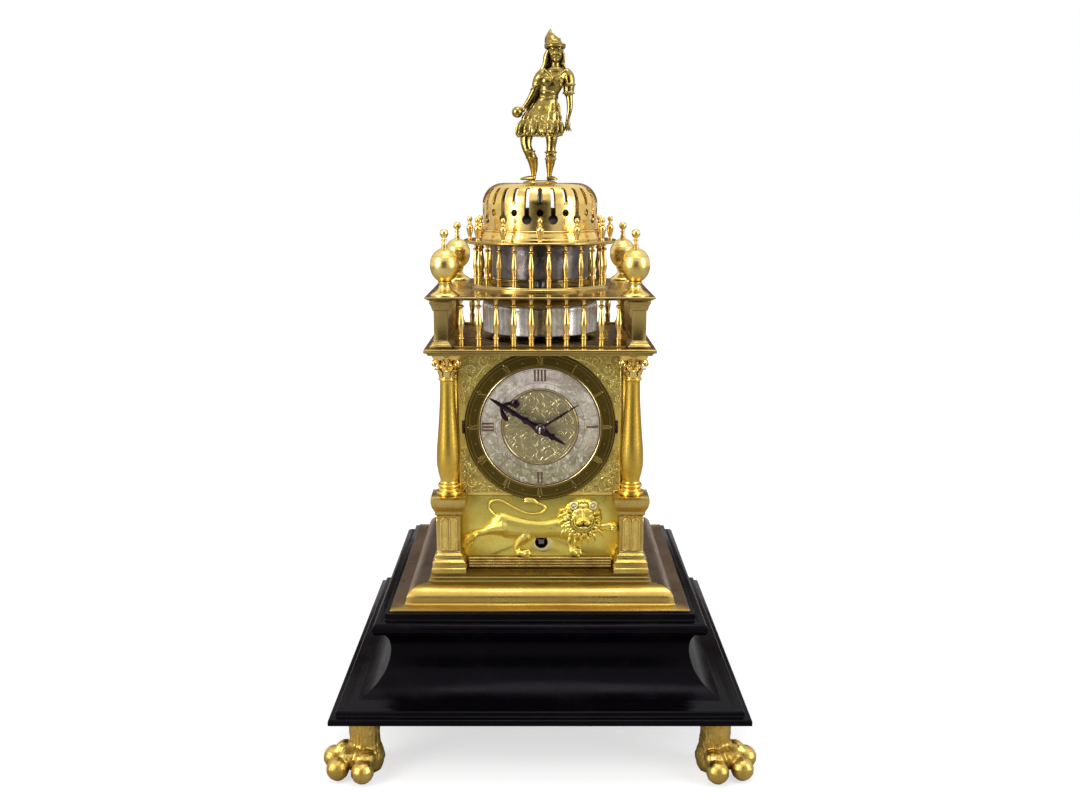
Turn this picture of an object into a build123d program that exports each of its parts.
"""Table clock: a gilt brass tower with two bell galleries and a pierced dome, on an ebonised plinth.

Millimetres, +Z up. The front faces -Y, and the origin is on the floor under the middle of the clock.
"""
import os
from math import acos, atan2, cos, degrees, hypot, pi, radians, sin, sqrt

from build123d import *

os.makedirs("parts", exist_ok=True)

# Flats on round work, so that the many turned pieces stay light
dial_sides = 24
dome_sides = 28
bell_sides = 12
turned_sides = 8
baluster_sides = 4
ring_sides = 20
arbor_sides = 8

# Feet and wooden plinth
foot_height = 40.5
foot_plate_thickness = 1.5
foot_plate_width = 33.0
foot_inset = 21.8
leg_radius = 10.6
toe_radius = 6.6
toe_reach = 25.0
plinth_slab_overhang = 4.8
plinth_slab_height = 4.0
plinth_fillet_width = 8.0
plinth_fillet_height = 4.4
plinth_hollow_reach = 26.5
plinth_hollow_height = 44.8
plinth_waist_inset = 11.5
bead_overhang = 8.2
bead_height = 9.0
plinth_step_overhang = 3.3
plinth_step_height = 4.8

# Gilt sheet base under the case
flange_width = 10.2
flange_thickness = 1.8
base_round_overhang = 16.9
base_round_height = 12.0
base_ledge = 0.1
base_top_height = 4.5
base_opening_half = 50.0

# Case and its panels
case_half = 60.0
sheet = 1.6
bottom_plate_thickness = 1.5
post_width = 8.6
post_depth = 5.2
lion_panel_height = 54.3
seam_cover = 2.7
strip_height = 8.2
strip_thickness = 3.0
strip_gap = 1.3
reed_count = 4
door_gap = 0.25
door_pivot_radius = 0.7
door_pivot_length = 1.4
knob_radius = 2.2
knob_length = 5.0
running_clearance = 0.05

# Corner pedestals, columns and capitals
column_stand_off = 5.8
pedestal_height = 57.2
pedestal_half = 12.5
die_half = 8.6
panel_depth = 0.6
column_base_height = 10.5
column_base_radius = 9.2
shaft_foot_radius = 6.0
shaft_bulge_radius = 8.5
shaft_top_radius = 5.3
capital_height = 16.5
abacus_half = 10.1
abacus_height = 3.4
volute_radius = 2.3

# Cornice and the square bell gallery
cornice_overhang = 15.5
cornice_height = 4.8
gallery_height = 33.9
sill_thickness = 1.2
sill_width = 6.0
pillar_inset = 12.0
pillar_half = 4.9
pillar_base_half = 7.7
baluster_inset = 11.3
balusters_per_side = 10
baluster_radius = 2.5
top_plate_overhang = 3.1
top_plate_thickness = 2.4

# Corner ball finials
finial_inset = 2.7
finial_height = 46.2
finial_ball_radius = 10.3
finial_foot_radius = 10.1
finial_stem_radius = 1.5
finial_knob_radius = 2.9

# Round bell gallery
ring_base_radius = 53.0
ring_base_height = 3.6
ring_base_width = 11.0
ring_gallery_height = 29.6
ring_baluster_inset = 4.7
ring_baluster_count = 24
ring_baluster_radius = 2.3
ring_plate_radius = 57.1
ring_plate_thickness = 2.7
ring_finial_inset = 4.6
ring_finial_count = 12
ring_finial_height = 17.0
ring_finial_radius = 2.6

# Pierced dome and the figure's disc
dome_ring_radius = 45.1
dome_ring_height = 7.7
dome_radius = 42.7
dome_height = 41.4
dome_shoulder = 15.0
dome_sheet = 1.2
slot_pairs = 14
slot_width = 2.9
slot_top_below_crown = 3.2
keyhole_radius = 3.1
keyhole_height = 16.0
small_hole_radius = 2.4
small_hole_height = 20.5
short_slot_foot_height = 26.0
cap_radius = 12.5
cap_thickness = 2.1
figure_height = 107.5

# Bells and the rod that carries them
bell_wall = 2.2
lower_bell_radius = 43.6
lower_bell_lift = 3.8
lower_bell_shoulder = 9.0
upper_bell_radius = 36.6
upper_bell_lift = 7.8
upper_bell_shoulder = 22.0
upper_bell_crown_height = 23.0
rod_radius = 2.4
sleeve_radius = 4.0
nut_radius = 5.0
nut_height = 2.2
upper_nut_height = 4.0

# Dial and hands
dial_margin = 6.0
hour_ring_width = 10.2
hour_ring_thickness = 1.8
quarter_ring_width = 17.1
quarter_ring_thickness = 1.1
dial_centre_thickness = 0.9
touch_pin_inset = 2.4
touch_pin_radius = 0.55
touch_pin_height = 1.0
dial_slot_width = 2.6
dial_slot_height = 9.0
dial_pin_radius = 0.6
dial_pin_length = 6.0
hour_hand_inset = 1.3
hour_tail_inset = 4.4
hour_hand_angle = 148.0
quarter_hand_inset = 11.3
quarter_hand_angle = 32.0
hand_thickness = 1.2
hand_gap = 1.0
hand_lift = 4.0
hand_hub_radius = 4.0
collet_radius = 3.9
collet_height = 2.2

# Movement frame
movement_half = 47.0
movement_top_gap = 16.5
front_plate_y = -40.0
back_plate_y = 32.0
movement_sheet = 2.0
movement_pillar_radius = 3.0
movement_pillar_inset = 6.0

# Wheels, arbors and the escapement
winding_x = 1.0
winding_drop = 35.3
winding_hole_radius = 4.7
arbor_radius = 2.5
winding_square = 4.0
great_wheel_teeth = 32
second_pinion_leaves = 8
train_slack = 1.00224
low_mesh_share = 0.483871
quarter_wheel_teeth = 24
quarter_pinion_leaves = 8
hour_wheel_teeth = 32
hour_pinion_leaves = 8
second_wheel_teeth = 28
escape_pinion_leaves = 7
escape_module = 1.7
escape_wheel_teeth = 11
escape_wheel_radius = 14.0
escape_direction = 52.0
wheel_thickness = 2.5
second_arbor_radius = 2.0
centre_arbor_radius = 1.5
pipe_radius = 2.6
verge_radius = 1.2
balance_radius = 20.0
balance_rim = 2.0
pallet_length = 4.5
fusee_large_radius = 12.0
fusee_small_radius = 6.5
fusee_length = 34.0
barrel_radius = 13.5
barrel_length = 36.0
barrel_arbor_radius = 2.0
barrel_spacing = 32.5
barrel_drop = 20.0
line_radius = 0.5

# Striking work
strike_spacing = 32.5
strike_drop = 20.0
strike_barrel_radius = 12.5
count_wheel_radius = 14.8
count_wheel_notches = 11
hammer_arbor_radius = 1.4
lower_hammer_offset = 44.0
upper_hammer_offset = 46.0
hammer_shelf_drop = 42.0
hammer_shelf_thickness = 3.0
hammer_foot_depth = 1.5
hammer_head_length = 7.0
upper_hammer_head_length = 4.6
hammer_height = 4.0
hammer_gap = 0.8
hammer_head_radius = 2.2
hammer_arm_width = 1.8
hammer_tail_length = 8.0
hammer_tail_lift = 6.0

# Widths, worked out from the case outwards
column_offset = case_half + column_stand_off
base_top_half = column_offset + pedestal_half + base_ledge
base_round_half = base_top_half + base_round_overhang
flange_half = base_round_half + flange_width
plinth_step_half = flange_half + plinth_step_overhang
bead_half = plinth_step_half + bead_overhang
plinth_waist_half = bead_half - plinth_waist_inset
plinth_hollow_half = plinth_waist_half + plinth_hollow_reach
plinth_fillet_half = plinth_hollow_half + plinth_fillet_width
plinth_half = plinth_fillet_half + plinth_slab_overhang
strip_half = column_offset - pedestal_half - strip_gap
cornice_half = column_offset + cornice_overhang
pillar_offset = cornice_half - pillar_inset
baluster_line = cornice_half - baluster_inset
baluster_spacing = 2 * (pillar_offset - pillar_base_half) / balusters_per_side
top_plate_half = pillar_offset + pillar_base_half + top_plate_overhang
finial_offset = pillar_offset - finial_inset
ring_base_bore = ring_base_radius - ring_base_width
ring_baluster_circle_radius = ring_base_radius - ring_baluster_inset
ring_finial_circle_radius = ring_plate_radius - ring_finial_inset

# The dial, and the case height that it needs over the lion's panel
hour_ring_radius = case_half - dial_margin
hour_ring_bore = hour_ring_radius - hour_ring_width
quarter_ring_bore = hour_ring_bore - quarter_ring_width
touch_pin_circle_radius = hour_ring_radius - touch_pin_inset
hour_hand_length = hour_ring_bore - hour_hand_inset
hour_hand_tail = quarter_ring_bore - hour_tail_inset
quarter_hand_length = hour_ring_bore - quarter_hand_inset
case_height = lion_panel_height - seam_cover + 2 * (hour_ring_radius + running_clearance)

# Heights, worked out from the floor up
plinth_z = foot_height + foot_plate_thickness
hollow_z = plinth_z + plinth_slab_height + plinth_fillet_height
bead_z = hollow_z + plinth_hollow_height
plinth_step_z = bead_z + bead_height
base_z = plinth_step_z + plinth_step_height
base_top_z = base_z + flange_thickness + base_round_height
case_z = base_top_z + base_top_height
cornice_z = case_z + case_height
gallery_z = cornice_z + cornice_height
top_plate_z = gallery_z + gallery_height
ring_base_z = top_plate_z + top_plate_thickness
ring_gallery_z = ring_base_z + ring_base_height
ring_plate_z = ring_gallery_z + ring_gallery_height
dome_z = ring_plate_z + ring_plate_thickness
cap_z = dome_z + dome_height
figure_z = cap_z + cap_thickness
column_z = case_z + pedestal_height
capital_z = cornice_z - capital_height
seam_z = case_z + lion_panel_height
dial_z = cornice_z - hour_ring_radius - 2 * running_clearance
winding_z = seam_z - winding_drop
movement_z = base_z + bottom_plate_thickness

foot_centre = plinth_half - foot_inset
case_face = -case_half


def facing(y):
    """The upright plane at depth y, seen from the front: X to the right, Z up, extruding forwards."""
    return Plane.XZ.offset(-y)


def write(part, name):
    """Names a finished piece and writes its file."""
    part.label = name
    export_step(part, f"parts/{name}.step")


def ring_of_points(middle, across, up, sides):
    """The corners of a flat-sided oval round a point, with a flat towards each of its two directions."""
    turns = [2 * pi * (k + 0.5) / sides for k in range(sides)]
    return [middle + across * cos(turn) + up * sin(turn) for turn in turns]


def skinned(rings):
    """A solid with flat facets through rings of corners; a side that isn't flat is split in two."""
    faces = [Face(Wire.make_polygon(ring)) for ring in (rings[0], rings[-1])]
    for low, high in zip(rings, rings[1:]):
        for k in range(len(low)):
            a, b, c, d = low[k - 1], low[k], high[k], high[k - 1]
            if abs((b - a).cross(d - a).dot(c - a)) < 0.000001:
                faces.append(Face(Wire.make_polygon([a, b, c, d])))
            else:
                faces.append(Face(Wire.make_polygon([a, b, c])))
                faces.append(Face(Wire.make_polygon([a, c, d])))
    return Solid(Shell(faces))


def stacked(sections, sides=8):
    """A solid through level ovals, each given as x, y, z and its two half widths."""
    return skinned([ring_of_points(Vector(x, y, z), Vector(half_x, 0, 0), Vector(0, half_y, 0), sides)
                    for x, y, z, half_x, half_y in sections])


def disc(radius, sides, mode=Mode.ADD):
    """A round outline drawn with flats, a flat towards each axis."""
    return RegularPolygon(radius, sides, rotation=180 / sides, mode=mode)


def bearing(radius, mode=Mode.ADD):
    """The outline of a hole in which an arbor of this radius turns freely."""
    return RegularPolygon(radius + running_clearance, arbor_sides, major_radius=False, rotation=180 / arbor_sides,
                          mode=mode)


def turned(outline, sides=turned_sides):
    """A piece turned about the clock's middle; the outline is radii and heights, from the bottom up."""
    return stacked([(0, 0, z, radius, radius) for radius, z in outline], sides)


def turned_ring(outline, bore, sides=ring_sides):
    """A ring turned about the clock's middle, its outline as for a turned piece, with a plain bore."""
    low, high = outline[0][1], outline[-1][1]
    with BuildPart() as band:
        add(turned(outline, sides))
        with BuildSketch(Plane.XY.offset(low)):
            disc(bore, sides)
        extrude(amount=high - low, mode=Mode.SUBTRACT)
    return band.part


def turned_on_arbor(outline, place, sides=arbor_sides):
    """A piece turned about an arbor that runs front to back; the outline is radii and depths."""
    return skinned([ring_of_points(Vector(place[0], y, place[1]), Vector(radius, 0, 0), Vector(0, 0, radius), sides)
                    for radius, y in outline])


def limb(stations, sides=5):
    """A solid through ovals square to a path, each given as its middle and its radius."""
    middles = [Vector(*station[0]) for station in stations]
    rings = []
    for k, middle in enumerate(middles):
        radius = stations[k][1]
        along = middles[min(k + 1, len(middles) - 1)] - middles[max(k - 1, 0)]
        across = along.cross(Vector(0, 1, 0)).normalized()
        up = across.cross(along).normalized()
        rings.append(ring_of_points(middle, across * radius, up * radius, sides))
    return skinned(rings)


def four_sided(outline):
    """A square block whose four sides all show the outline, mitred at the corners.

    The outline runs up the right-hand side as half widths and heights. A hollow or round stretch is a
    pair of points: the one that it passes through, then the one where it ends.
    """
    reach = 2 * max(point[0] for point in outline if not isinstance(point[0], tuple))
    with BuildPart() as block:
        for plane, mode in ((Plane.XZ, Mode.ADD), (Plane.YZ, Mode.INTERSECT)):
            with BuildSketch(plane) as side:
                with BuildLine():
                    here = outline[0]
                    Line((0, here[1]), here)
                    for point in outline[1:]:
                        if isinstance(point[0], tuple):
                            ThreePointArc(here, *point)
                            here = point[1]
                        else:
                            Line(here, point)
                            here = point
                    Line(here, (0, here[1]))
                    Line((0, here[1]), (0, outline[0][1]))
                make_face()
                mirror(about=Plane.YZ)
            extrude(amount=reach, both=True, mode=mode)
    return block.part


def plate_outline(half, low, high):
    """The four corners of an upright plate, as points for Polygon."""
    return [(-half, low), (half, low), (half, high), (-half, high)]


# Lion-paw feet: a leg that spreads at the top, a heel and four toes, the bottom cut flat
with BuildPart() as paw:
    add(stacked([
        (-1.5, 0, 0, leg_radius * 1.15, leg_radius * 1.2),
        (0, 0, foot_height - 8, leg_radius, leg_radius),
        (0, 0, foot_height, leg_radius * 1.3, leg_radius * 1.3),
    ], 6))
    for spread, reach in ((0.78, 1.0), (-0.78, 1.0), (2.0, 0.66), (-2.0, 0.66)):
        tip = toe_reach * reach
        side = toe_radius * spread
        add(limb([
            ((tip - 18, side * 0.7, toe_radius * 1.9), toe_radius * 0.8),
            ((tip - 2, side, toe_radius * 1.1), toe_radius * 1.1),
            ((tip + 4.8, side, toe_radius * 0.6), toe_radius * 0.5),
        ], 4))
    split(bisect_by=Plane.XY, keep=Keep.TOP)
with BuildPart() as paw_feet:
    with PolarLocations(foot_centre * sqrt(2), 4, start_angle=45):
        add(paw.part)
write(paw_feet.part, "paw_feet")

with BuildPart() as foot_plates:
    with BuildSketch(Plane.XY.offset(foot_height)):
        with GridLocations(2 * foot_centre, 2 * foot_centre, 2, 2):
            Rectangle(foot_plate_width, foot_plate_width)
    extrude(amount=foot_plate_thickness)
write(foot_plates.part, "foot_plates")

# Ebonised plinth: slab, fillet and a wide hollow up to the waist, then the bead and the step
hollow_top_half = plinth_waist_half + 4.7
plinth = four_sided([
    (plinth_half, plinth_z),
    (plinth_half, plinth_z + plinth_slab_height),
    (plinth_fillet_half, plinth_z + plinth_slab_height + 1),
    (plinth_fillet_half, hollow_z - 0.4),
    (plinth_hollow_half, hollow_z),
    ((plinth_waist_half + 6.8, hollow_z + plinth_hollow_height * 0.23),
     (plinth_waist_half, hollow_z + plinth_hollow_height * 0.62)),
    ((plinth_waist_half + 1.2, hollow_z + plinth_hollow_height * 0.82), (hollow_top_half, bead_z)),
])
write(plinth, "plinth")

bead_flat_half = bead_half - bead_height * 0.3
plinth_top = four_sided([
    (bead_flat_half, bead_z),
    (bead_half, bead_z + bead_height * 0.25),
    (bead_half, bead_z + bead_height * 0.75),
    (bead_flat_half, plinth_step_z),
    (plinth_step_half, plinth_step_z),
    (plinth_step_half, base_z),
])
write(plinth_top, "plinth_top")

# Gilt sheet base: flange, round moulding and the flat that the case stands on, open inside
round_top_half = base_round_half - 8.0
with BuildPart() as gilt_base:
    add(four_sided([
        (flange_half, base_z),
        (flange_half, base_z + flange_thickness),
        (base_round_half, base_z + flange_thickness + 0.8),
        (base_round_half, base_z + flange_thickness + 2),
        ((base_round_half - 2.4, base_z + flange_thickness + base_round_height * 0.68),
         (round_top_half, base_top_z)),
        (base_top_half, base_top_z),
        (base_top_half, case_z),
    ]))
    with BuildSketch(Plane.XY.offset(base_z)):
        Rectangle(2 * base_opening_half, 2 * base_opening_half)
    extrude(amount=case_z - base_z, mode=Mode.SUBTRACT)
    door_axis_x = case_half - sheet / 2
    door_axis_y = case_half - sheet - post_depth - door_gap - sheet / 2
    with BuildSketch(Plane.XY.offset(case_z)):
        with Locations((-door_axis_x, door_axis_y), (door_axis_x, door_axis_y)):
            bearing(door_pivot_radius)
    extrude(amount=-door_pivot_length - door_gap, mode=Mode.SUBTRACT)
write(gilt_base.part, "gilt_base")

with BuildPart() as case_bottom_plate:
    with BuildSketch(Plane.XY.offset(base_z)):
        Rectangle(2 * base_opening_half, 2 * base_opening_half)
    extrude(amount=bottom_plate_thickness)
write(case_bottom_plate.part, "case_bottom_plate")

# Case: four corner posts, the back plate, and the front in two panels that meet at a seam
with BuildPart() as corner_posts:
    post_x = case_half - post_width / 2
    post_y = case_half - sheet - post_depth / 2
    with BuildSketch(Plane.XY.offset(case_z)):
        with GridLocations(2 * post_x, 2 * post_y, 2, 2):
            Rectangle(post_width, post_depth)
    extrude(amount=case_height)
write(corner_posts.part, "corner_posts")

panel_half = case_half - sheet
with BuildPart() as back_plate:
    with BuildSketch(facing(case_half)):
        Polygon(*plate_outline(panel_half, case_z, cornice_z), align=None)
    extrude(amount=sheet)
write(back_plate.part, "back_plate")

slot_x = hour_ring_radius + dial_slot_width / 2 - 0.4
with BuildPart() as front_dial_plate:
    with BuildSketch(facing(case_face + sheet)):
        Polygon(*plate_outline(panel_half, seam_z, cornice_z), align=None)
        with Locations((0, dial_z)):
            disc(pipe_radius + 1.2, arbor_sides, mode=Mode.SUBTRACT)
        with Locations((-slot_x, dial_z), (slot_x, dial_z)):
            Rectangle(dial_slot_width, dial_slot_height, mode=Mode.SUBTRACT)
    extrude(amount=sheet)
write(front_dial_plate.part, "front_dial_plate")

with BuildPart() as lion_panel:
    with BuildSketch(facing(case_face + sheet)):
        Polygon(*plate_outline(panel_half, case_z, seam_z), align=None)
        with Locations((winding_x, winding_z)):
            disc(winding_hole_radius, bell_sides, mode=Mode.SUBTRACT)
    extrude(amount=sheet)
write(lion_panel.part, "lion_panel")

# Reeded strip at the foot of the front, its reeds half round
reed_radius = strip_height / reed_count / 2
with BuildPart() as reeded_strip:
    with BuildSketch(Plane.YZ.offset(-strip_half)):
        with Locations((case_face, case_z)):
            Rectangle(strip_thickness - reed_radius, strip_height, align=(Align.MAX, Align.MIN))
        reed_middles = [(case_face - strip_thickness + reed_radius, case_z + reed_radius * (2 * k + 1))
                        for k in range(reed_count)]
        with Locations(*reed_middles):
            RegularPolygon(reed_radius, 8, major_radius=False, rotation=22.5)
    extrude(amount=2 * strip_half)
write(reeded_strip.part, "reeded_strip")

# Side doors: a sheet with a rounded hinge edge, two pivots and a knob, one each side
door_low = case_z + door_gap
door_high = cornice_z - door_gap
door_front_y = -(case_half - sheet - post_depth - door_gap)
for side, name in ((-1, "side_door_left"), (1, "side_door_right")):
    with BuildPart() as door:
        with BuildSketch(Plane.XY.offset(door_low)):
            with Locations((side * door_axis_x, (door_front_y + door_axis_y) / 2)):
                Rectangle(sheet, door_axis_y - door_front_y)
            with Locations((side * door_axis_x, door_axis_y)):
                disc(sheet / 2, arbor_sides)
        extrude(amount=door_high - door_low)
        with BuildSketch(Plane.XY.offset(case_z - door_pivot_length)):
            with Locations((side * door_axis_x, door_axis_y)):
                disc(door_pivot_radius, arbor_sides)
        extrude(amount=case_height + 2 * door_pivot_length)
    with BuildPart() as knob:
        with BuildSketch(Plane.YZ.offset(side * case_half)):
            with Locations((door_front_y + 3 * knob_radius, (door_low + door_high) / 2)):
                disc(knob_radius, turned_sides)
        extrude(amount=side * knob_length)
    with BuildPart() as door_and_knob:
        add(door.part)
        add(knob.part)
    write(door_and_knob.part, name)

# Corner pedestals: moulded foot and head on a die with two arched panels a side, notched for the case
with BuildPart() as pedestal:
    add(four_sided([
        (pedestal_half, 0),
        (pedestal_half, 4.6),
        (pedestal_half - 0.9, 9.4),
        (die_half, 14),
        (die_half, pedestal_height - 12.4),
        (pedestal_half, pedestal_height - 4),
        (pedestal_half, pedestal_height),
    ]))
    arch_radius = die_half * 0.29
    arch_foot = 17.5
    arch_top = pedestal_height - 17.5 - arch_radius
    for plane in (Plane.XZ.offset(die_half), Plane.YZ.offset(die_half)):
        with BuildSketch(plane):
            for middle in (-arch_radius * 1.25, arch_radius * 1.25):
                Polygon((middle - arch_radius, arch_foot), (middle + arch_radius, arch_foot),
                        (middle + arch_radius, arch_top), (middle, arch_top + arch_radius),
                        (middle - arch_radius, arch_top), align=None)
        extrude(amount=-panel_depth, mode=Mode.SUBTRACT)


def beside_case(piece, height):
    """Four copies of a corner piece round the case, each notched where the case's corner stands."""
    with BuildPart() as corner:
        with Locations((column_offset, -column_offset, height)):
            add(piece)
    with BuildPart() as group:
        with PolarLocations(0, 4):
            add(corner.part)
        with BuildSketch(Plane.XY.offset(case_z)):
            Rectangle(2 * case_half, 2 * case_half)
        extrude(amount=case_height, mode=Mode.SUBTRACT)
    return group.part


write(beside_case(pedestal.part, case_z), "pedestals")

# Columns: ringed base and a shaft that swells low down, under an astragal
shaft_length = capital_z - column_z - column_base_height
column = turned([
    (column_base_radius, 0),
    (column_base_radius, 3.4),
    (shaft_foot_radius + 1, 6.6),
    (shaft_foot_radius, column_base_height),
    (shaft_bulge_radius, column_base_height + shaft_length * 0.16),
    (shaft_bulge_radius * 0.94, column_base_height + shaft_length * 0.36),
    (shaft_top_radius, column_base_height + shaft_length - 1.4),
    (shaft_top_radius + 1.2, column_base_height + shaft_length),
])
with BuildPart() as columns:
    with Locations((0, 0, column_z)):
        with GridLocations(2 * column_offset, 2 * column_offset, 2, 2):
            add(column)
write(columns.part, "columns")

# Capitals: a bell with leaves, a volute under each corner and a hollow-sided abacus
with BuildPart() as capital:
    add(turned([
        (shaft_top_radius, 0),
        (shaft_top_radius + 2, capital_height * 0.38),
        (shaft_top_radius + 0.6, capital_height * 0.42),
        (abacus_half * 0.8, capital_height - abacus_height),
    ], 6))
    with BuildSketch(Plane.XY.offset(capital_height - abacus_height)):
        side_half = abacus_half * 0.85
        Polygon((abacus_half, -abacus_half), (side_half, 0), (abacus_half, abacus_half), (0, side_half),
                (-abacus_half, abacus_half), (-side_half, 0), (-abacus_half, -abacus_half), (0, -side_half),
                align=None)
    extrude(amount=abacus_height)
    with BuildPart(mode=Mode.PRIVATE) as volute:
        with BuildSketch(Plane.XZ.offset(-1.3)):
            with Locations((abacus_half * 0.98, capital_height - abacus_height - volute_radius * 0.7)):
                RegularPolygon(volute_radius, 4)
        extrude(amount=2.6)
    with PolarLocations(0, 4, start_angle=45):
        add(volute.part)
write(beside_case(capital.part, capital_z), "capitals")

# Lower cornice: a moulded plate that the case, the columns and the hammers' arbors come up to
hammer_places = [(-lower_hammer_offset, lower_hammer_offset), (0, upper_hammer_offset)]
with BuildPart() as lower_cornice:
    add(four_sided([
        (cornice_half - 2.8, cornice_z),
        (cornice_half, cornice_z + 2),
        (cornice_half, gallery_z),
    ]))
    with BuildSketch(Plane.XY.offset(cornice_z)):
        disc(rod_radius, turned_sides)
        with Locations(*hammer_places):
            bearing(hammer_arbor_radius)
    extrude(amount=cornice_height, mode=Mode.SUBTRACT)
    with BuildSketch(Plane.XY.offset(cornice_z)):
        with Locations((-door_axis_x, door_axis_y), (door_axis_x, door_axis_y)):
            bearing(door_pivot_radius)
    extrude(amount=door_pivot_length + door_gap, mode=Mode.SUBTRACT)
write(lower_cornice.part, "lower_cornice")

# Square gallery: sills between four moulded pillars, ten turned balusters a side
with BuildPart() as sill:
    with BuildSketch(Plane.XY.offset(gallery_z)):
        with Locations((0, -baluster_line)):
            Rectangle(2 * (pillar_offset - pillar_base_half), sill_width)
    extrude(amount=sill_thickness)
with BuildPart() as gallery_sills:
    with PolarLocations(0, 4):
        add(sill.part)
write(gallery_sills.part, "gallery_sills")

pillar = four_sided([
    (pillar_base_half, 0),
    (pillar_base_half, 2.2),
    (pillar_half, 5),
    (pillar_half, gallery_height - 7),
    (pillar_half + 1.2, gallery_height - 5.4),
    (pillar_base_half, gallery_height - 1.6),
    (pillar_base_half, gallery_height),
])
with BuildPart() as gallery_pillars:
    with Locations((0, 0, gallery_z)):
        with GridLocations(2 * pillar_offset, 2 * pillar_offset, 2, 2):
            add(pillar)
write(gallery_pillars.part, "gallery_pillars")


def baluster(height, radius):
    """A baluster that swells low down and has a slender neck."""
    shape = [(0.55, 0), (1, 0.42), (0.5, 1)]
    return turned([(radius * share, height * level) for share, level in shape], baluster_sides)


gallery_baluster = baluster(gallery_height - sill_thickness, baluster_radius)
with BuildPart() as baluster_row:
    with Locations((0, -baluster_line, gallery_z + sill_thickness)):
        with GridLocations(baluster_spacing, 1, balusters_per_side, 1):
            add(gallery_baluster)
with BuildPart() as gallery_balusters:
    with PolarLocations(0, 4):
        add(baluster_row.part)
write(gallery_balusters.part, "gallery_balusters")

with BuildPart() as top_plate:
    add(four_sided([
        (top_plate_half - 2.4, top_plate_z),
        (top_plate_half - 0.7, top_plate_z + top_plate_thickness * 0.45),
        (top_plate_half, top_plate_z + top_plate_thickness * 0.45),
        (top_plate_half, ring_base_z),
    ]))
    with BuildSketch(Plane.XY.offset(top_plate_z)):
        disc(rod_radius, turned_sides)
        with Locations((0, upper_hammer_offset)):
            bearing(hammer_arbor_radius)
    extrude(amount=top_plate_thickness, mode=Mode.SUBTRACT)
write(top_plate.part, "top_plate")

# Ball finials: a turned foot, an egg-shaped ball and a ringed stem with a knob
foot = finial_foot_radius
ball = finial_ball_radius
stem = finial_stem_radius
knob = finial_knob_radius
ball_finial = turned([(radius, finial_height * level) for radius, level in (
    (foot, 0), (foot * 0.9, 0.05), (foot * 0.42, 0.18), (ball, 0.36), (ball, 0.53),
    (stem, 0.71), (stem, 0.86), (knob, 0.94), (stem, 1),
)])
with BuildPart() as ball_finials:
    with Locations((0, 0, ring_base_z)):
        with GridLocations(2 * finial_offset, 2 * finial_offset, 2, 2):
            add(ball_finial)
write(ball_finials.part, "ball_finials")

# Round gallery: moulded base ring, turned balusters, a flat ring plate and small turned finials
with BuildPart() as ring_base:
    add(turned_ring([
        (ring_base_radius, ring_base_z),
        (ring_base_radius, ring_base_z + ring_base_height * 0.4),
        (ring_base_radius - 1.6, ring_gallery_z),
    ], ring_base_bore))
    with BuildSketch(Plane.XY.offset(ring_base_z)):
        with Locations((0, upper_hammer_offset)):
            bearing(hammer_arbor_radius)
    extrude(amount=ring_base_height, mode=Mode.SUBTRACT)
write(ring_base.part, "ring_base")

half_step = 180 / ring_baluster_count
ring_baluster = baluster(ring_gallery_height, ring_baluster_radius)
with BuildPart() as ring_balusters:
    with Locations((0, 0, ring_gallery_z)):
        with PolarLocations(ring_baluster_circle_radius, ring_baluster_count, start_angle=half_step):
            add(ring_baluster)
write(ring_balusters.part, "ring_balusters")

dome_bore = dome_radius - dome_sheet
ring_plate = turned_ring([
    (ring_plate_radius - 2.4, ring_plate_z),
    (ring_plate_radius, ring_plate_z + ring_plate_thickness * 0.45),
    (ring_plate_radius, dome_z),
], dome_bore - 2)
write(ring_plate, "ring_plate")

ring_finial = turned([(ring_finial_radius * share, ring_finial_height * level) for share, level in (
    (0.6, 0), (1, 0.48), (0.35, 0.76), (0.75, 1))], baluster_sides)
with BuildPart() as ring_finials:
    with Locations((0, 0, dome_z)):
        with PolarLocations(ring_finial_circle_radius, ring_finial_count, start_angle=-90):
            add(ring_finial)
write(ring_finials.part, "ring_finials")

# Dome: base ring, then a pierced shell with keyholes and short slots in turn, a disc on top
dome_ring = turned_ring([
    (dome_ring_radius, dome_z),
    (dome_ring_radius, dome_z + dome_ring_height * 0.6),
    (dome_radius + 0.9, dome_z + dome_ring_height),
], dome_radius, dome_sides)
write(dome_ring, "dome_ring")

shoulder_z = cap_z - dome_shoulder
shoulder_bands = 2


def dome_outline(radius, shoulder):
    """The dome's outline at one face of its sheet: an upright side and a rounded shoulder in straight bands."""
    turns = [pi / 2 * k / shoulder_bands for k in range(shoulder_bands + 1)]
    return [(radius, dome_z)] + [(radius - shoulder * (1 - cos(turn)), shoulder_z + shoulder * sin(turn))
                                 for turn in turns]


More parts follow.
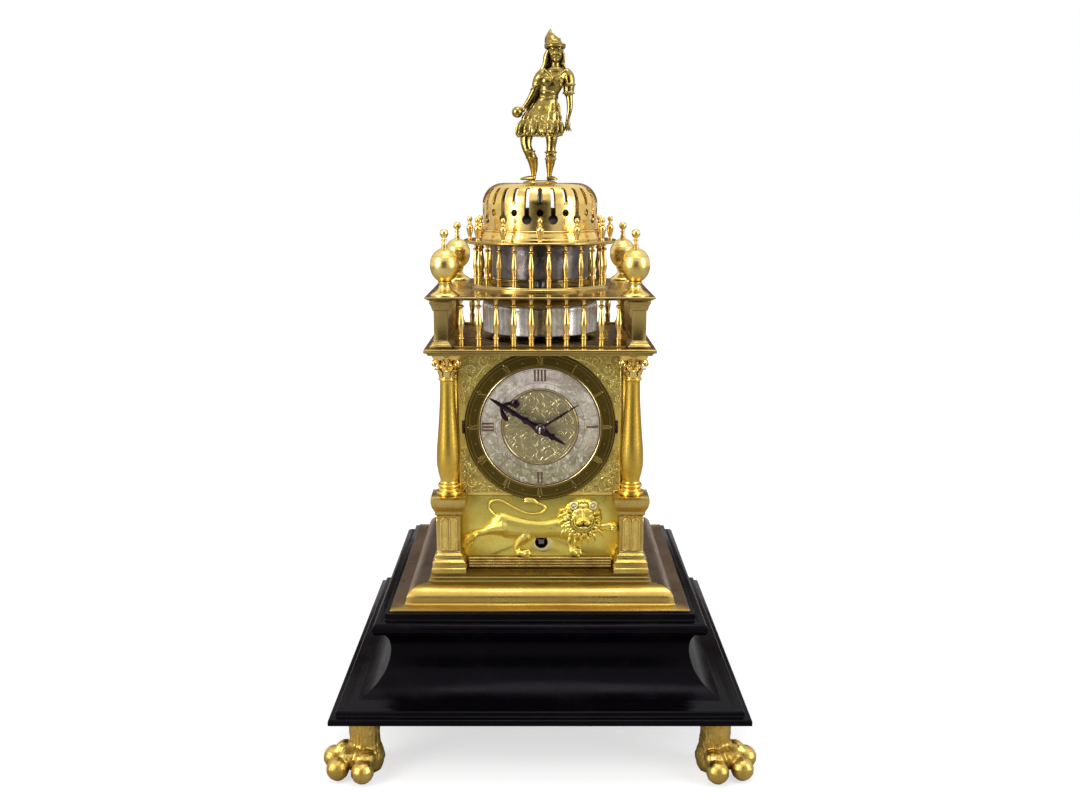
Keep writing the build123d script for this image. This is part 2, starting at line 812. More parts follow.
slot_top_z = cap_z - slot_top_below_crown
with BuildPart() as long_keyhole:
    with BuildSketch(facing(-dome_radius * 0.55)):
        with Locations((0, dome_z + keyhole_height)):
            RegularPolygon(keyhole_radius, 4)
        Polygon(*plate_outline(slot_width / 2, dome_z + keyhole_height, slot_top_z), align=None)
    extrude(amount=dome_radius * 0.6)
with BuildPart() as short_slot:
    with BuildSketch(facing(-dome_radius * 0.55)):
        with Locations((0, dome_z + small_hole_height)):
            RegularPolygon(small_hole_radius, 4)
        Polygon(*plate_outline(slot_width / 2, dome_z + short_slot_foot_height, slot_top_z), align=None)
    extrude(amount=dome_radius * 0.6)
with BuildPart() as pierced_dome:
    add(turned(dome_outline(dome_radius, dome_shoulder), dome_sides))
    add(turned(dome_outline(dome_bore, dome_shoulder - dome_sheet), dome_sides), mode=Mode.SUBTRACT)
    with BuildSketch(Plane.XY.offset(cap_z)):
        disc(rod_radius, turned_sides)
    extrude(amount=-dome_sheet, mode=Mode.SUBTRACT)
    slot_turn = 360 / slot_pairs
    with PolarLocations(0, slot_pairs, start_angle=slot_turn / 2):
        add(long_keyhole.part, mode=Mode.SUBTRACT)
    with PolarLocations(0, slot_pairs):
        add(short_slot.part, mode=Mode.SUBTRACT)
write(pierced_dome.part, "pierced_dome")

dome_cap = turned([
    (cap_radius, cap_z),
    (cap_radius, cap_z + cap_thickness * 0.5),
    (cap_radius - 1.6, figure_z),
], bell_sides)
write(dome_cap, "dome_cap")

# Figure: boots, legs, leafy skirt, cuirass, arms, head in a crested helmet, and the ball it holds
tall = figure_height


def at(x, y, level):
    """A point of the figure: sideways, depth, and height as a share of the figure's height."""
    return (x, y, figure_z + tall * level)


figure_pieces = [
    stacked([(-0.5, 0, figure_z + tall * 0.285, 12, 9), (0, 0, figure_z + tall * 0.33, 16, 12),
             (1.5, 0, figure_z + tall * 0.43, 12.5, 9.5), (5.5, 0, figure_z + tall * 0.56, 7.2, 6)], 8),
    stacked([(5.5, 0, figure_z + tall * 0.55, 7.2, 6), (8, 0, figure_z + tall * 0.62, 8.6, 6.8),
             (10.5, 0, figure_z + tall * 0.695, 10, 6.4), (11.2, 0, figure_z + tall * 0.745, 5, 4.6)], 6),
    stacked([(11, 0, figure_z + tall * 0.73, 3.2, 3.2), (11, -0.5, figure_z + tall * 0.79, 3.3, 3.6),
             (11, -1.2, figure_z + tall * 0.815, 5.2, 5.4), (11, -0.6, figure_z + tall * 0.9, 5.9, 6.6)], 6),
    stacked([(10.8, -0.8, figure_z + tall * 0.885, 7.2, 8), (10, 0, figure_z + tall * 0.94, 5.6, 6.2),
             (7.4, 0.5, figure_z + tall * 1.0, 1.2, 1.6)], 6),
    limb([(at(6, 4, 0.9), 2.6), (at(-2, 5, 0.66), 4), (at(-7, 4, 0.5), 2.6)]),
    limb([(at(3, 0, 0.715), 4), (at(-1, 0, 0.67), 4.6), (at(-3.8, 0, 0.625), 3.2), (at(-4.5, 0, 0.61), 2.3),
          (at(-12.4, -2, 0.48), 1.7)]),
    stacked([(-15.6, -2.4, figure_z + tall * 0.425, 1.8, 1.8), (-15.6, -2.4, figure_z + tall * 0.445, 3.8, 3.8),
             (-15.6, -2.4, figure_z + tall * 0.475, 3.8, 3.8), (-15.6, -2.4, figure_z + tall * 0.495, 1.8, 1.8)], 6),
    limb([(at(17, 0, 0.72), 3.4), (at(20.4, 0, 0.68), 4.5), (at(21, 0, 0.585), 3.2), (at(21.2, 0, 0.57), 2.4),
          (at(22, -0.4, 0.46), 1.8), (at(20, -1, 0.345), 1.2)]),
    limb([(at(-8.4, 0, 0.31), 4.8), (at(-9, -1.6, 0.17), 3.7), (at(-4.6, 0, 0.04), 1.9), (at(-4.6, 0, 0), 2.6)]),
    limb([(at(8.4, 0, 0.31), 4.8), (at(8, -1.2, 0.17), 3.7), (at(7, 0, 0.04), 1.9), (at(7, 0, 0), 2.6)]),
    limb([(at(-3.6, 1.5, 0.018), 1.8), (at(-12, -4.4, 0.012), 1.1)], 4),
    limb([(at(6.4, 2, 0.018), 1.8), (at(11.4, -6, 0.012), 1.1)], 4),
]
with BuildPart() as figure:
    for piece in figure_pieces:
        add(piece)
    split(bisect_by=Plane.XY.offset(figure_z), keep=Keep.TOP)
write(figure.part, "figure")


def bell(radius, rim_z, crown_z, shoulder):
    """A bowl-shaped bell with straight sides, bored at the crown for the rod."""
    with BuildPart() as bowl:
        for skin, mode in ((0, Mode.ADD), (bell_wall, Mode.SUBTRACT)):
            rounding = shoulder - skin
            add(turned([
                (radius - skin, rim_z),
                (radius - skin, crown_z - shoulder),
                (radius - skin - rounding * 0.3, crown_z - skin - rounding * 0.3),
                (radius - skin - rounding, crown_z - skin),
            ], bell_sides), mode=mode)
        with BuildSketch(Plane.XY.offset(crown_z)):
            disc(rod_radius, turned_sides)
        extrude(amount=-bell_wall, mode=Mode.SUBTRACT)
    return bowl.part


# Bells, each clamped between a collar of the central rod and a nut
lower_rim_z = gallery_z + lower_bell_lift
lower_crown_z = top_plate_z - nut_height
upper_rim_z = ring_base_z + upper_bell_lift
upper_crown_z = dome_z + upper_bell_crown_height
write(bell(lower_bell_radius, lower_rim_z, lower_crown_z, lower_bell_shoulder), "lower_bell")
write(bell(upper_bell_radius, upper_rim_z, upper_crown_z, upper_bell_shoulder), "upper_bell")

bell_rod = turned([
    (rod_radius, cornice_z),
    (rod_radius, gallery_z),
    (sleeve_radius, gallery_z),
    (sleeve_radius, lower_crown_z - bell_wall),
    (rod_radius, lower_crown_z - bell_wall),
    (rod_radius, ring_base_z),
    (sleeve_radius, ring_base_z),
    (sleeve_radius, upper_crown_z - bell_wall),
    (rod_radius, upper_crown_z - bell_wall),
    (rod_radius, cap_z),
])
write(bell_rod, "bell_rod")

with BuildPart() as bell_nuts:
    for foot_z, thickness in ((lower_crown_z, nut_height), (upper_crown_z, upper_nut_height)):
        with BuildSketch(Plane.XY.offset(foot_z)):
            RegularPolygon(nut_radius, 6)
            disc(rod_radius, turned_sides, mode=Mode.SUBTRACT)
        extrude(amount=thickness)
write(bell_nuts.part, "bell_nuts")

# Dial: hour ring with touch pins, silvered quarter ring, raised rim and engraved centre
ring_face = case_face - hour_ring_thickness
centre_place = (0.0, dial_z)
with BuildPart() as hour_ring:
    with BuildSketch(facing(case_face)):
        with Locations((0, dial_z)):
            disc(hour_ring_radius, dial_sides)
            disc(hour_ring_bore, dial_sides, mode=Mode.SUBTRACT)
    extrude(amount=hour_ring_thickness)
    with BuildSketch(facing(ring_face)):
        with Locations((0, dial_z)):
            with PolarLocations(touch_pin_circle_radius, 12):
                RegularPolygon(touch_pin_radius, 4)
    extrude(amount=touch_pin_height)
write(hour_ring.part, "hour_ring")

with BuildPart() as quarter_ring:
    with BuildSketch(facing(case_face)):
        with Locations((0, dial_z)):
            disc(hour_ring_bore, dial_sides)
            disc(quarter_ring_bore, dial_sides, mode=Mode.SUBTRACT)
    extrude(amount=quarter_ring_thickness)
write(quarter_ring.part, "quarter_ring")

with BuildPart() as dial_centre:
    with BuildSketch(facing(case_face)):
        with Locations((0, dial_z)):
            disc(quarter_ring_bore, dial_sides)
            bearing(pipe_radius, mode=Mode.SUBTRACT)
    extrude(amount=dial_centre_thickness)
write(dial_centre.part, "dial_centre")

# Two dark pins that stand in the slots beside the hour ring and hold it
with BuildPart() as dial_pins:
    with BuildSketch(facing(case_face + sheet)):
        with Locations((-slot_x, dial_z - dial_slot_height / 2 + dial_pin_radius),
                       (slot_x, dial_z - dial_slot_height / 2 + dial_pin_radius)):
            RegularPolygon(dial_pin_radius, 8)
    extrude(amount=dial_pin_length)
write(dial_pins.part, "dial_pins")

# Hands: the thin quarter hand on the pipe, the lobed hour hand in front of it on the centre arbor
quarter_hand_back = ring_face - hand_lift
hour_hand_back = quarter_hand_back - hand_thickness - hand_gap
hand_front = hour_hand_back - hand_thickness


def hand_plane(angle, y):
    """A plane at depth y whose X runs along a hand, for drawing the hand as if it pointed right."""
    along = Vector(cos(radians(angle)), 0, sin(radians(angle)))
    return Plane((0, y, dial_z), x_dir=along, z_dir=(0, -1, 0))


with BuildPart() as quarter_hand:
    with BuildSketch(hand_plane(quarter_hand_angle, quarter_hand_back)):
        disc(hand_hub_radius, turned_sides)
        Polygon((0, -1), (quarter_hand_length * 0.5, -0.9), (quarter_hand_length, -0.3),
                (quarter_hand_length, 0.3), (quarter_hand_length * 0.5, 0.9), (0, 1), align=None)
    extrude(amount=hand_thickness)
    with BuildSketch(facing(quarter_hand_back)):
        with Locations(centre_place):
            disc(pipe_radius - 0.6, arbor_sides)
    extrude(amount=hand_thickness, mode=Mode.SUBTRACT)
write(quarter_hand.part, "quarter_hand")

reach = hour_hand_length
tail = hour_hand_tail
with BuildPart() as hour_hand:
    with BuildSketch(hand_plane(hour_hand_angle, hour_hand_back)):
        disc(hand_hub_radius, turned_sides)
        Polygon((-tail, 0), (-tail * 0.66, -1.3), (-tail * 0.5, -2.3), (-tail * 0.4, -1.3), (0, -2),
                (reach * 0.25, -1.5), (reach * 0.3, -2.4), (reach * 0.38, -1.3), (reach * 0.7, -1),
                (reach * 0.56, -7), (reach * 0.64, -6.4), (reach * 0.76, -1.8), (reach, 0),
                (reach * 0.76, 1.8), (reach * 0.66, 4.8), (reach * 0.58, 4.6), (reach * 0.7, 1),
                (reach * 0.38, 1.3), (reach * 0.3, 2.4), (reach * 0.25, 1.5), (0, 2), (-tail * 0.4, 1.3),
                (-tail * 0.5, 2.3), (-tail * 0.66, 1.3), align=None)
        with Locations((reach * 0.57, 5.4)):
            RegularPolygon(1.9, 10)
    extrude(amount=hand_thickness)
    with BuildSketch(facing(hour_hand_back)):
        with Locations(centre_place):
            disc(centre_arbor_radius, arbor_sides)
    extrude(amount=hand_thickness, mode=Mode.SUBTRACT)
write(hour_hand.part, "hour_hand")

collet_front = hand_front - collet_height
with BuildPart() as hand_collet:
    add(turned_on_arbor([
        (collet_radius, hand_front),
        (collet_radius, hand_front - collet_height * 0.4),
        (collet_radius * 0.5, collet_front),
    ], centre_place))
    with BuildSketch(facing(hand_front)):
        with Locations(centre_place):
            disc(centre_arbor_radius, arbor_sides)
    extrude(amount=collet_height, mode=Mode.SUBTRACT)
write(hand_collet.part, "hand_collet")


def teeth_points(teeth, module, phase):
    """The outline of a wheel or pinion with pointed teeth, one of them centred on the phase angle in degrees."""
    pitch_radius = teeth * module / 2
    points = []
    for k in range(teeth):
        middle = radians(phase) + 2 * pi * k / teeth
        for radius, turn in ((pitch_radius - 1.1 * module, middle - pi / teeth), (pitch_radius + 0.8 * module, middle)):
            points.append((radius * cos(turn), radius * sin(turn)))
    return points


def direction(start, end):
    """The angle in degrees from one arbor to another, seen from the front."""
    return degrees(atan2(end[1] - start[1], end[0] - start[0]))


# Arbors: the second arbor lies where both of its meshes are at their right distance
fusee_place = (winding_x, winding_z)
span = hypot(centre_place[0] - fusee_place[0], centre_place[1] - fusee_place[1])
low_mesh = span * train_slack * low_mesh_share
high_mesh = span * train_slack - low_mesh
train_module = 2 * low_mesh / (great_wheel_teeth + second_pinion_leaves)
quarter_module = 2 * high_mesh / (quarter_wheel_teeth + quarter_pinion_leaves)
hour_module = 2 * high_mesh / (hour_wheel_teeth + hour_pinion_leaves)
along_span = (low_mesh ** 2 - high_mesh ** 2 + span ** 2) / (2 * span)
off_span = sqrt(low_mesh ** 2 - along_span ** 2)
span_x = (centre_place[0] - fusee_place[0]) / span
span_z = (centre_place[1] - fusee_place[1]) / span
second_place = (fusee_place[0] + along_span * span_x + off_span * span_z,
                fusee_place[1] + along_span * span_z - off_span * span_x)
escape_mesh = escape_module * (second_wheel_teeth + escape_pinion_leaves) / 2
escape_place = (second_place[0] + escape_mesh * cos(radians(escape_direction)),
                second_place[1] + escape_mesh * sin(radians(escape_direction)))
barrel_place = (winding_x - barrel_spacing, winding_z - barrel_drop)
strike_place = (winding_x + strike_spacing, winding_z - strike_drop)

# Movement frame: two upright plates on the bottom plate, four pillars, and a shelf for the hammers
movement_top_z = cornice_z - movement_top_gap
pillar_x = movement_half - movement_pillar_inset
pillar_heights = (winding_z + movement_pillar_inset, movement_top_z - movement_pillar_inset)
bearings = [(fusee_place, arbor_radius), (second_place, second_arbor_radius),
            (centre_place, centre_arbor_radius), (strike_place, arbor_radius),
            (barrel_place, barrel_arbor_radius)]
with BuildPart() as front_movement_plate:
    with BuildSketch(facing(front_plate_y)):
        Polygon(*plate_outline(movement_half, movement_z, movement_top_z), align=None)
        for place, radius in bearings + [(escape_place, second_arbor_radius)]:
            with Locations(place):
                bearing(radius, mode=Mode.SUBTRACT)
    extrude(amount=movement_sheet)
write(front_movement_plate.part, "front_movement_plate")

hammer_shelf_z = movement_top_z - hammer_shelf_drop
hammer_foot_z = hammer_shelf_z + hammer_shelf_thickness - hammer_foot_depth
with BuildPart() as back_movement_plate:
    with BuildSketch(facing(back_plate_y)):
        Polygon(*plate_outline(movement_half, movement_z, movement_top_z), align=None)
        for place, radius in bearings:
            with Locations(place):
                bearing(radius, mode=Mode.SUBTRACT)
    extrude(amount=movement_sheet)
    with BuildSketch(Plane.XY.offset(hammer_shelf_z)):
        shelf_back = upper_hammer_offset + 4
        with Locations((-movement_half / 2, back_plate_y)):
            Rectangle(movement_half + 12, shelf_back - back_plate_y, align=(Align.CENTER, Align.MIN))
    extrude(amount=hammer_shelf_thickness)
    with BuildSketch(Plane.XY.offset(hammer_foot_z)):
        with Locations(*hammer_places):
            bearing(hammer_arbor_radius)
    extrude(amount=hammer_shelf_thickness, mode=Mode.SUBTRACT)
write(back_movement_plate.part, "back_movement_plate")

with BuildPart() as movement_pillars:
    with BuildSketch(facing(back_plate_y - movement_sheet)):
        for height in pillar_heights:
            with Locations((-pillar_x, height), (pillar_x, height)):
                RegularPolygon(movement_pillar_radius, 6)
    extrude(amount=back_plate_y - movement_sheet - front_plate_y)
write(movement_pillars.part, "movement_pillars")

# Fusee on its winding arbor, squared at the front for the key
arbor_back = back_plate_y + 1.5
great_wheel_back = front_plate_y + 9
fusee_front = great_wheel_back + 0.6
with BuildPart() as fusee:
    add(turned_on_arbor([
        (arbor_radius, arbor_back),
        (arbor_radius, fusee_front + fusee_length),
        (fusee_small_radius, fusee_front + fusee_length),
        (fusee_small_radius * 1.3, fusee_front + fusee_length * 0.45),
        (fusee_large_radius, fusee_front + 2),
        (fusee_large_radius, fusee_front),
        (arbor_radius, fusee_front),
        (arbor_radius, case_face + sheet + 8),
    ], fusee_place))
    with BuildSketch(facing(case_face + sheet + 8)):
        with Locations(fusee_place):
            Rectangle(winding_square, winding_square)
    extrude(amount=8 + sheet / 2)
write(fusee.part, "fusee")

barrel_front = fusee_front
spring_barrel = turned_on_arbor([
    (barrel_arbor_radius, arbor_back),
    (barrel_arbor_radius, barrel_front + barrel_length),
    (barrel_radius, barrel_front + barrel_length),
    (barrel_radius, barrel_front),
    (barrel_arbor_radius, barrel_front),
    (barrel_arbor_radius, front_plate_y - movement_sheet / 2),
], barrel_place)
write(spring_barrel, "spring_barrel")

# Gut line from the top of the barrel to the fusee, along the tangent of the two
line_y = fusee_front + 8
fusee_line_radius = fusee_small_radius * 1.62
barrel_reach = barrel_radius + line_radius + running_clearance
fusee_reach = fusee_line_radius + line_radius + running_clearance
line_turn = acos((barrel_reach - fusee_reach) / hypot(barrel_spacing, barrel_drop))
line_angle = radians(direction(barrel_place, fusee_place)) + line_turn
line_start = Vector(barrel_place[0] + barrel_reach * cos(line_angle), line_y,
                    barrel_place[1] + barrel_reach * sin(line_angle))
line_end = Vector(fusee_place[0] + fusee_reach * cos(line_angle), line_y,
                  fusee_place[1] + fusee_reach * sin(line_angle))
with BuildPart() as fusee_line:
    with BuildSketch(Plane(line_start, z_dir=line_end - line_start)):
        RegularPolygon(line_radius, 8)
    extrude(amount=(line_end - line_start).length)
write(fusee_line.part, "fusee_line")

# Great wheel, free on the fusee arbor, in mesh with the second pinion
low_direction = direction(fusee_place, second_place)
high_direction = direction(second_place, centre_place)
second_pinion_phase = low_direction + 180 + 180 / second_pinion_leaves
with BuildPart() as great_wheel:
    with BuildSketch(facing(great_wheel_back)):
        with Locations(fusee_place):
            Polygon(*teeth_points(great_wheel_teeth, train_module, low_direction), align=None)
            bearing(arbor_radius, mode=Mode.SUBTRACT)
    extrude(amount=wheel_thickness)
write(great_wheel.part, "great_wheel")

# Second arbor: pinion and wheel between the plates, quarter wheel and hour pinion in front of them
hour_wheel_back = front_plate_y - movement_sheet - 1.2
quarter_wheel_back = hour_wheel_back - wheel_thickness - 1.2
second_wheel_back = great_wheel_back + 8
with BuildPart() as second_arbor:
    with BuildSketch(facing(back_plate_y - movement_sheet / 2)):
        with Locations(second_place):
            disc(second_arbor_radius, arbor_sides)
    extrude(amount=back_plate_y - movement_sheet / 2 - quarter_wheel_back + wheel_thickness)
    with BuildSketch(facing(second_wheel_back)):
        with Locations(second_place):
            Polygon(*teeth_points(second_wheel_teeth, escape_module, escape_direction), align=None)
    extrude(amount=wheel_thickness)
    with BuildSketch(facing(great_wheel_back + 0.5)):
        with Locations(second_place):
            Polygon(*teeth_points(second_pinion_leaves, train_module, second_pinion_phase), align=None)
    extrude(amount=wheel_thickness + 1)
    with BuildSketch(facing(hour_wheel_back + 0.5)):
        with Locations(second_place):
            Polygon(*teeth_points(hour_pinion_leaves, hour_module, high_direction + 180 / hour_pinion_leaves),
                    align=None)
    extrude(amount=hour_wheel_back + 0.5 - quarter_wheel_back)
    with BuildSketch(facing(quarter_wheel_back)):
        with Locations(second_place):
            Polygon(*teeth_points(quarter_wheel_teeth, quarter_module, high_direction), align=None)
    extrude(amount=wheel_thickness)
write(second_arbor.part, "second_arbor")

# Centre arbor with the hour wheel, and the quarter pipe that turns on it
with BuildPart() as centre_arbor:
    with BuildSketch(facing(back_plate_y - movement_sheet / 2)):
        with Locations(centre_place):
            disc(centre_arbor_radius, arbor_sides)
    extrude(amount=back_plate_y - movement_sheet / 2 - collet_front + 0.8)
write(centre_arbor.part, "centre_arbor")

with BuildPart() as hour_wheel:
    with BuildSketch(facing(hour_wheel_back)):
        with Locations(centre_place):
            Polygon(*teeth_points(hour_wheel_teeth, hour_module, high_direction + 180), align=None)
            disc(centre_arbor_radius, arbor_sides, mode=Mode.SUBTRACT)
    extrude(amount=wheel_thickness)
write(hour_wheel.part, "hour_wheel")

quarter_pinion_back = hour_wheel_back - wheel_thickness - 0.3
quarter_pinion_phase = high_direction + 180 + 180 / quarter_pinion_leaves
with BuildPart() as quarter_pipe:
    with BuildSketch(facing(quarter_pinion_back)):
        with Locations(centre_place):
            Polygon(*teeth_points(quarter_pinion_leaves, quarter_module, quarter_pinion_phase), align=None)
            bearing(centre_arbor_radius, mode=Mode.SUBTRACT)
    extrude(amount=wheel_thickness + 2)
    with BuildSketch(facing(quarter_pinion_back - wheel_thickness - 2)):
        with Locations(centre_place):
            disc(pipe_radius, arbor_sides)
            bearing(centre_arbor_radius, mode=Mode.SUBTRACT)
    extrude(amount=quarter_pinion_back - wheel_thickness - 2 - quarter_hand_back)
    with BuildSketch(facing(quarter_hand_back)):
        with Locations(centre_place):
            disc(pipe_radius - 0.6, arbor_sides)
            bearing(centre_arbor_radius, mode=Mode.SUBTRACT)
    extrude(amount=hand_thickness)
write(quarter_pipe.part, "quarter_pipe")

# Escape wheel with its pinion and arbor; its teeth point back to the upright verge
escape_x, escape_z = escape_place
escape_back = second_wheel_back + 10
tooth_tips_y = escape_back + 4
potence_y = tooth_tips_y + 2.6
with BuildPart() as escape_wheel:
    with BuildSketch(facing(potence_y - 1)):
        with Locations(escape_place):
            disc(second_arbor_radius, arbor_sides)
    extrude(amount=potence_y - 1 - front_plate_y + movement_sheet / 2)
    with BuildSketch(facing(second_wheel_back + 0.5)):
        with Locations(escape_place):
            Polygon(*teeth_points(escape_pinion_leaves, escape_module,
                                   escape_direction + 180 + 180 / escape_pinion_leaves), align=None)
    extrude(amount=wheel_thickness + 1)
    with BuildSketch(facing(escape_back)):
        with Locations(escape_place):
            disc(escape_wheel_radius, escape_wheel_teeth)
    extrude(amount=1.2)
    with BuildSketch(facing(tooth_tips_y)):
        with Locations(escape_place):
            with PolarLocations(escape_wheel_radius - 1.6, escape_wheel_teeth, start_angle=180 / escape_wheel_teeth):
                Rectangle(1.6, 2.0)
    extrude(amount=tooth_tips_y - escape_back)
write(escape_wheel.part, "escape_wheel")

# Verge with its two pallets and the balance on top, in a lower cock, a potence and the balance cock
verge_y = tooth_tips_y + pallet_length + verge_radius + 0.6
verge_foot_z = escape_z - escape_wheel_radius - 8
balance_z = escape_z + escape_wheel_radius + 14
cock_depth = 6.0
with BuildPart() as balance:
    with BuildSketch(Plane.XY.offset(verge_foot_z)):
        with Locations((escape_x, verge_y)):
            disc(verge_radius, arbor_sides)
    extrude(amount=balance_z + 8 - verge_foot_z)
    for height, turn in ((escape_z - escape_wheel_radius, 35), (escape_z + escape_wheel_radius, -35)):
        with BuildSketch(Plane((escape_x, verge_y, height - 1.5), x_dir=(cos(radians(turn)), sin(radians(turn)), 0),
                               z_dir=(0, 0, 1))):
            Rectangle(1.2, pallet_length + verge_radius, align=(Align.CENTER, Align.MAX))
        extrude(amount=3)
    with BuildSketch(Plane.XY.offset(balance_z)):
        with Locations((escape_x, verge_y)):
            disc(balance_radius, bell_sides)
            disc(balance_radius - balance_rim, bell_sides, mode=Mode.SUBTRACT)
            Rectangle(2 * balance_radius - 1, 2.4)
    extrude(amount=1.6)
write(balance.part, "balance")

plate_inside = back_plate_y - movement_sheet
potence_half = 3.0
with BuildPart() as verge_cocks:
    for foot_z in (verge_foot_z - 1, balance_z + 6):
        with BuildSketch(Plane.XY.offset(foot_z)):
            with Locations((escape_x, plate_inside)):
                Rectangle(cock_depth, plate_inside - verge_y + cock_depth / 2, align=(Align.CENTER, Align.MAX))
            with Locations((escape_x, verge_y)):
                bearing(verge_radius, mode=Mode.SUBTRACT)
        extrude(amount=2.5)
    with BuildSketch(Plane.XY.offset(escape_z - potence_half)):
        with Locations((escape_x + 3 * potence_half, plate_inside)):
            Rectangle(2 * potence_half, plate_inside - potence_y + 2, align=(Align.CENTER, Align.MAX))
        with Locations((escape_x, potence_y - 2)):
            Rectangle(6 * potence_half, 2, align=(Align.CENTER, Align.MIN))
    extrude(amount=2 * potence_half)
    with BuildSketch(facing(potence_y)):
        with Locations(escape_place):
            bearing(second_arbor_radius)
    extrude(amount=2, mode=Mode.SUBTRACT)
write(verge_cocks.part, "verge_cocks")

# Striking barrel with the notched count wheel behind the back plate
with BuildPart() as strike_barrel:
    add(turned_on_arbor([
        (arbor_radius, back_plate_y + 6),
        (arbor_radius, fusee_front + barrel_length),
        (strike_barrel_radius, fusee_front + barrel_length),
        (strike_barrel_radius, fusee_front + 2),
        (arbor_radius, fusee_front + 2),
        (arbor_radius, front_plate_y - movement_sheet / 2),
    ], strike_place))
    with BuildSketch(facing(back_plate_y + 5)):
        with Locations(strike_place):
            disc(count_wheel_radius, 2 * count_wheel_notches)
            turn = 0
            for strike in range(1, count_wheel_notches + 1):
                turn += strike
                with PolarLocations(count_wheel_radius, 1, start_angle=turn * 360 / 78):
                    Rectangle(4, 2.4, mode=Mode.SUBTRACT)
    extrude(amount=2)
write(strike_barrel.part, "strike_barrel")


def hammer(place, arm_z, head_angle, head_face, head_length, tail_angle):
    """An upright hammer arbor with its arm and head, and a lifting tail inside the case.

    The head lies across the bell at a compass angle round the clock, its face at a distance from the middle.
    """
    outward = Vector(cos(radians(head_angle)), sin(radians(head_angle)), 0)
    arbor = Vector(*place, arm_z)
    head = outward * (head_face + head_length / 2) + Vector(0, 0, arm_z)
    tail = Vector(cos(radians(tail_angle)), sin(radians(tail_angle)), 0)
    with BuildPart() as arm:
        with BuildSketch(Plane.XY.offset(hammer_foot_z)):
            with Locations(place):
                disc(hammer_arbor_radius, arbor_sides)
        extrude(amount=arm_z + hammer_arm_width / 2 - hammer_foot_z)
        with BuildSketch(Plane(arbor, x_dir=head - arbor, z_dir=(0, 0, 1))):
            Rectangle((head - arbor).length, hammer_arm_width, align=(Align.MIN, Align.CENTER))
        extrude(amount=hammer_arm_width / 2, both=True)
        with BuildSketch(Plane(head, x_dir=(0, 0, 1), z_dir=outward)):
            disc(hammer_head_radius, arbor_sides)
        extrude(amount=head_length / 2, both=True)
        with BuildSketch(Plane((*place, hammer_foot_z + hammer_tail_lift), x_dir=tail, z_dir=(0, 0, 1))):
            Rectangle(hammer_tail_length, hammer_arm_width, align=(Align.MIN, Align.CENTER))
        extrude(amount=hammer_arm_width)
    return arm.part


lower_hammer = hammer(hammer_places[0], lower_rim_z + hammer_height, 118, lower_bell_radius + hammer_gap,
                      hammer_head_length, -60)
write(lower_hammer, "lower_hammer")
upper_hammer = hammer(hammer_places[1], upper_rim_z + hammer_height, 75, upper_bell_radius + hammer_gap,
                      upper_hammer_head_length, 120)
write(upper_hammer, "upper_hammer")

# Lion: body in low relief, stretched from its hind paw to the raised forepaw, over the winding hole
lion_x = winding_x
lion_z = winding_z
body_outline = [(-54.5, 2.3), (-54, 6.3), (-50, 9.3), (-39.4, 12.2), (-34.9, 18), (-31.5, 21.5), (-27.6, 22.3),
                (-21.4, 21.5), (-12.5, 18.6), (-3.5, 16.6), (5.5, 16.6), (13.4, 19.2), (20, 12), (21, 0.6),
                (13.6, 2), (4.4, 5.1), (-3.5, 5.1), (-6.2, 4.6), (-7.1, 0), (-13.4, -1.8), (-8.3, -5.2),
                (-8.3, -9.2), (-11.1, -10.6), (-16.1, -9.5), (-19.7, -6), (-20.8, 0.6), (-17.8, 3.2),
                (-22.6, 3.1), (-30.4, 5.2), (-36, 6.3), (-42, 5), (-46, 3.4), (-47.2, -0.1), (-51.2, -1.6),
                (-54, -0.1)]
foreleg_outline = [(18, 4), (19, -4.6), (21.4, -9.2), (27.6, -10.3), (29.2, -8.4), (28, -5.4), (25.3, -3.6),
                   (25.3, 4)]
raised_paw_outline = [(40, 8), (52, 14), (55, 13.8), (56.2, 10.6), (55.4, 7.6), (50, 7.4), (42, 4)]
tail_route = [(-30, 20), (-37, 23.5), (-38.7, 27), (-36, 31.6), (-30.4, 32.2), (-23.6, 28.6), (-15.8, 24.5),
              (-8, 21.8), (-1.2, 21.8), (3.2, 24.5), (1, 28.6), (-5, 31), (-11, 32)]
lion_drawn_reach = 57.2
lion_spread = (column_offset - die_half) / lion_drawn_reach
lion_relief_depth = 2.6
mane_depth = 4.2
mane_middle = (30.5, 18.0)
mane_points = 10
eye_radius = 2.8
eye_spread = 7.1
eye_lift = 11.2


def on_lion(points):
    """Points given from the winding hole, in the panel's own X and Z, spread to reach the pedestals' dies."""
    return [(lion_x + x * lion_spread, lion_z + z) for x, z in points]


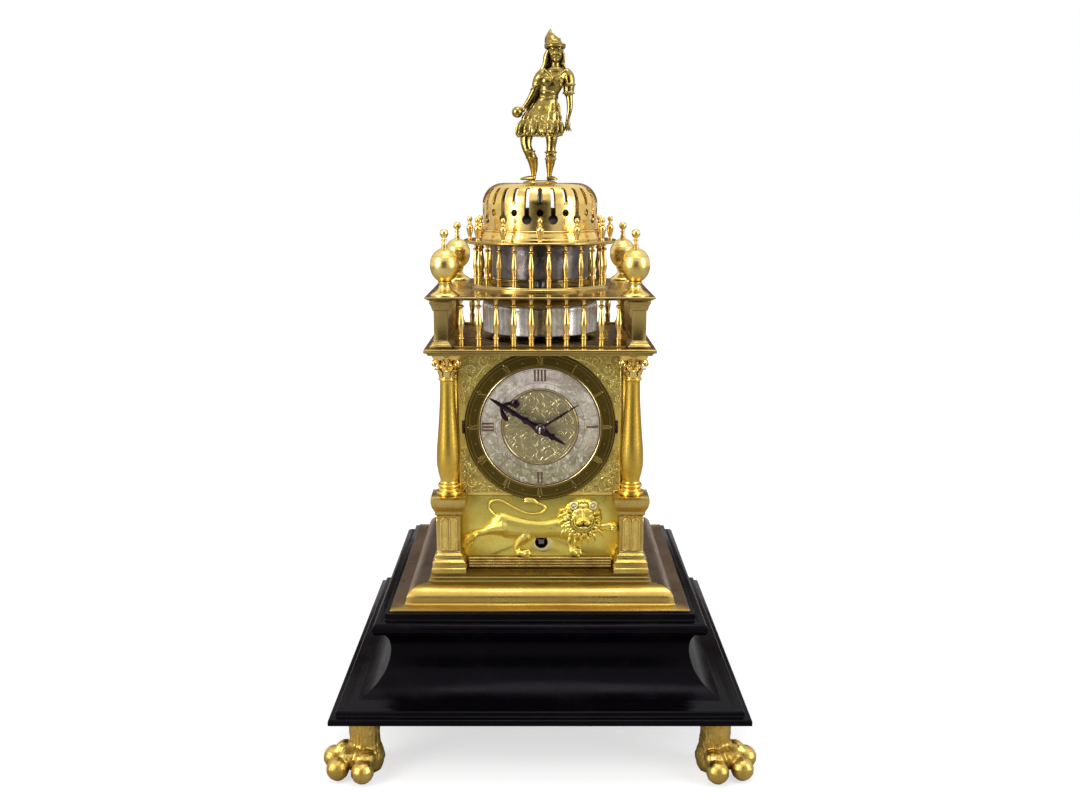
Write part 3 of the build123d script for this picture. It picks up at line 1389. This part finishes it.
with BuildPart() as lion_relief:
    for outline in (body_outline, foreleg_outline, raised_paw_outline):
        with BuildSketch(facing(case_face)):
            Polygon(*on_lion(outline), align=None)
        extrude(amount=lion_relief_depth)
    with BuildSketch(facing(case_face)):
        with BuildLine():
            Polyline(on_lion(tail_route))
        trace(line_width=1.7)
    extrude(amount=1.4)
    scallops = []
    for k in range(2 * mane_points):
        curl = 14.5 if k % 2 == 0 else 12.6
        drop = 5 if sin(pi * k / mane_points) < -0.5 else 0
        scallops.append((mane_middle[0] + curl * cos(pi * k / mane_points),
                         mane_middle[1] + (curl + drop) * sin(pi * k / mane_points)))
    with BuildSketch(facing(case_face)):
        Polygon(*on_lion(scallops), align=None)
    extrude(amount=mane_depth)
    head_x, head_z = on_lion([mane_middle])[0]
    lion_face = skinned([
        ring_of_points(Vector(head_x, case_face - mane_depth - depth, head_z + lift),
                       Vector(half_x, 0, 0), Vector(0, 0, half_z), 8)
        for depth, half_x, half_z, lift in ((-0.2, 10.4, 10, 0), (2.2, 9.4, 9, 0), (4.4, 5.6, 5.2, -1.6),
                                            (6.2, 3.6, 2.8, -3))])
    add(lion_face)
    with BuildSketch(facing(case_face)):
        with Locations((winding_x, winding_z)):
            disc(winding_hole_radius, bell_sides)
    extrude(amount=lion_relief_depth + 1, mode=Mode.SUBTRACT)
    eye_z = mane_middle[1] + eye_lift
    eye_places = on_lion([(mane_middle[0] - eye_spread, eye_z), (mane_middle[0] + eye_spread, eye_z)])
    eye_back = case_face - mane_depth - 0.6
    with BuildSketch(facing(eye_back)):
        with Locations(*eye_places):
            disc(eye_radius, arbor_sides)
    extrude(amount=3, mode=Mode.SUBTRACT)
write(lion_relief.part, "lion_relief")

with BuildPart() as lion_eyes:
    with BuildSketch(facing(eye_back)):
        with Locations(*eye_places):
            disc(eye_radius, arbor_sides)
    extrude(amount=1.6)
    with BuildSketch(facing(eye_back - 1.6)):
        with Locations(*eye_places):
            RegularPolygon(eye_radius * 0.5, 8)
    extrude(amount=0.6)
write(lion_eyes.part, "lion_eyes")
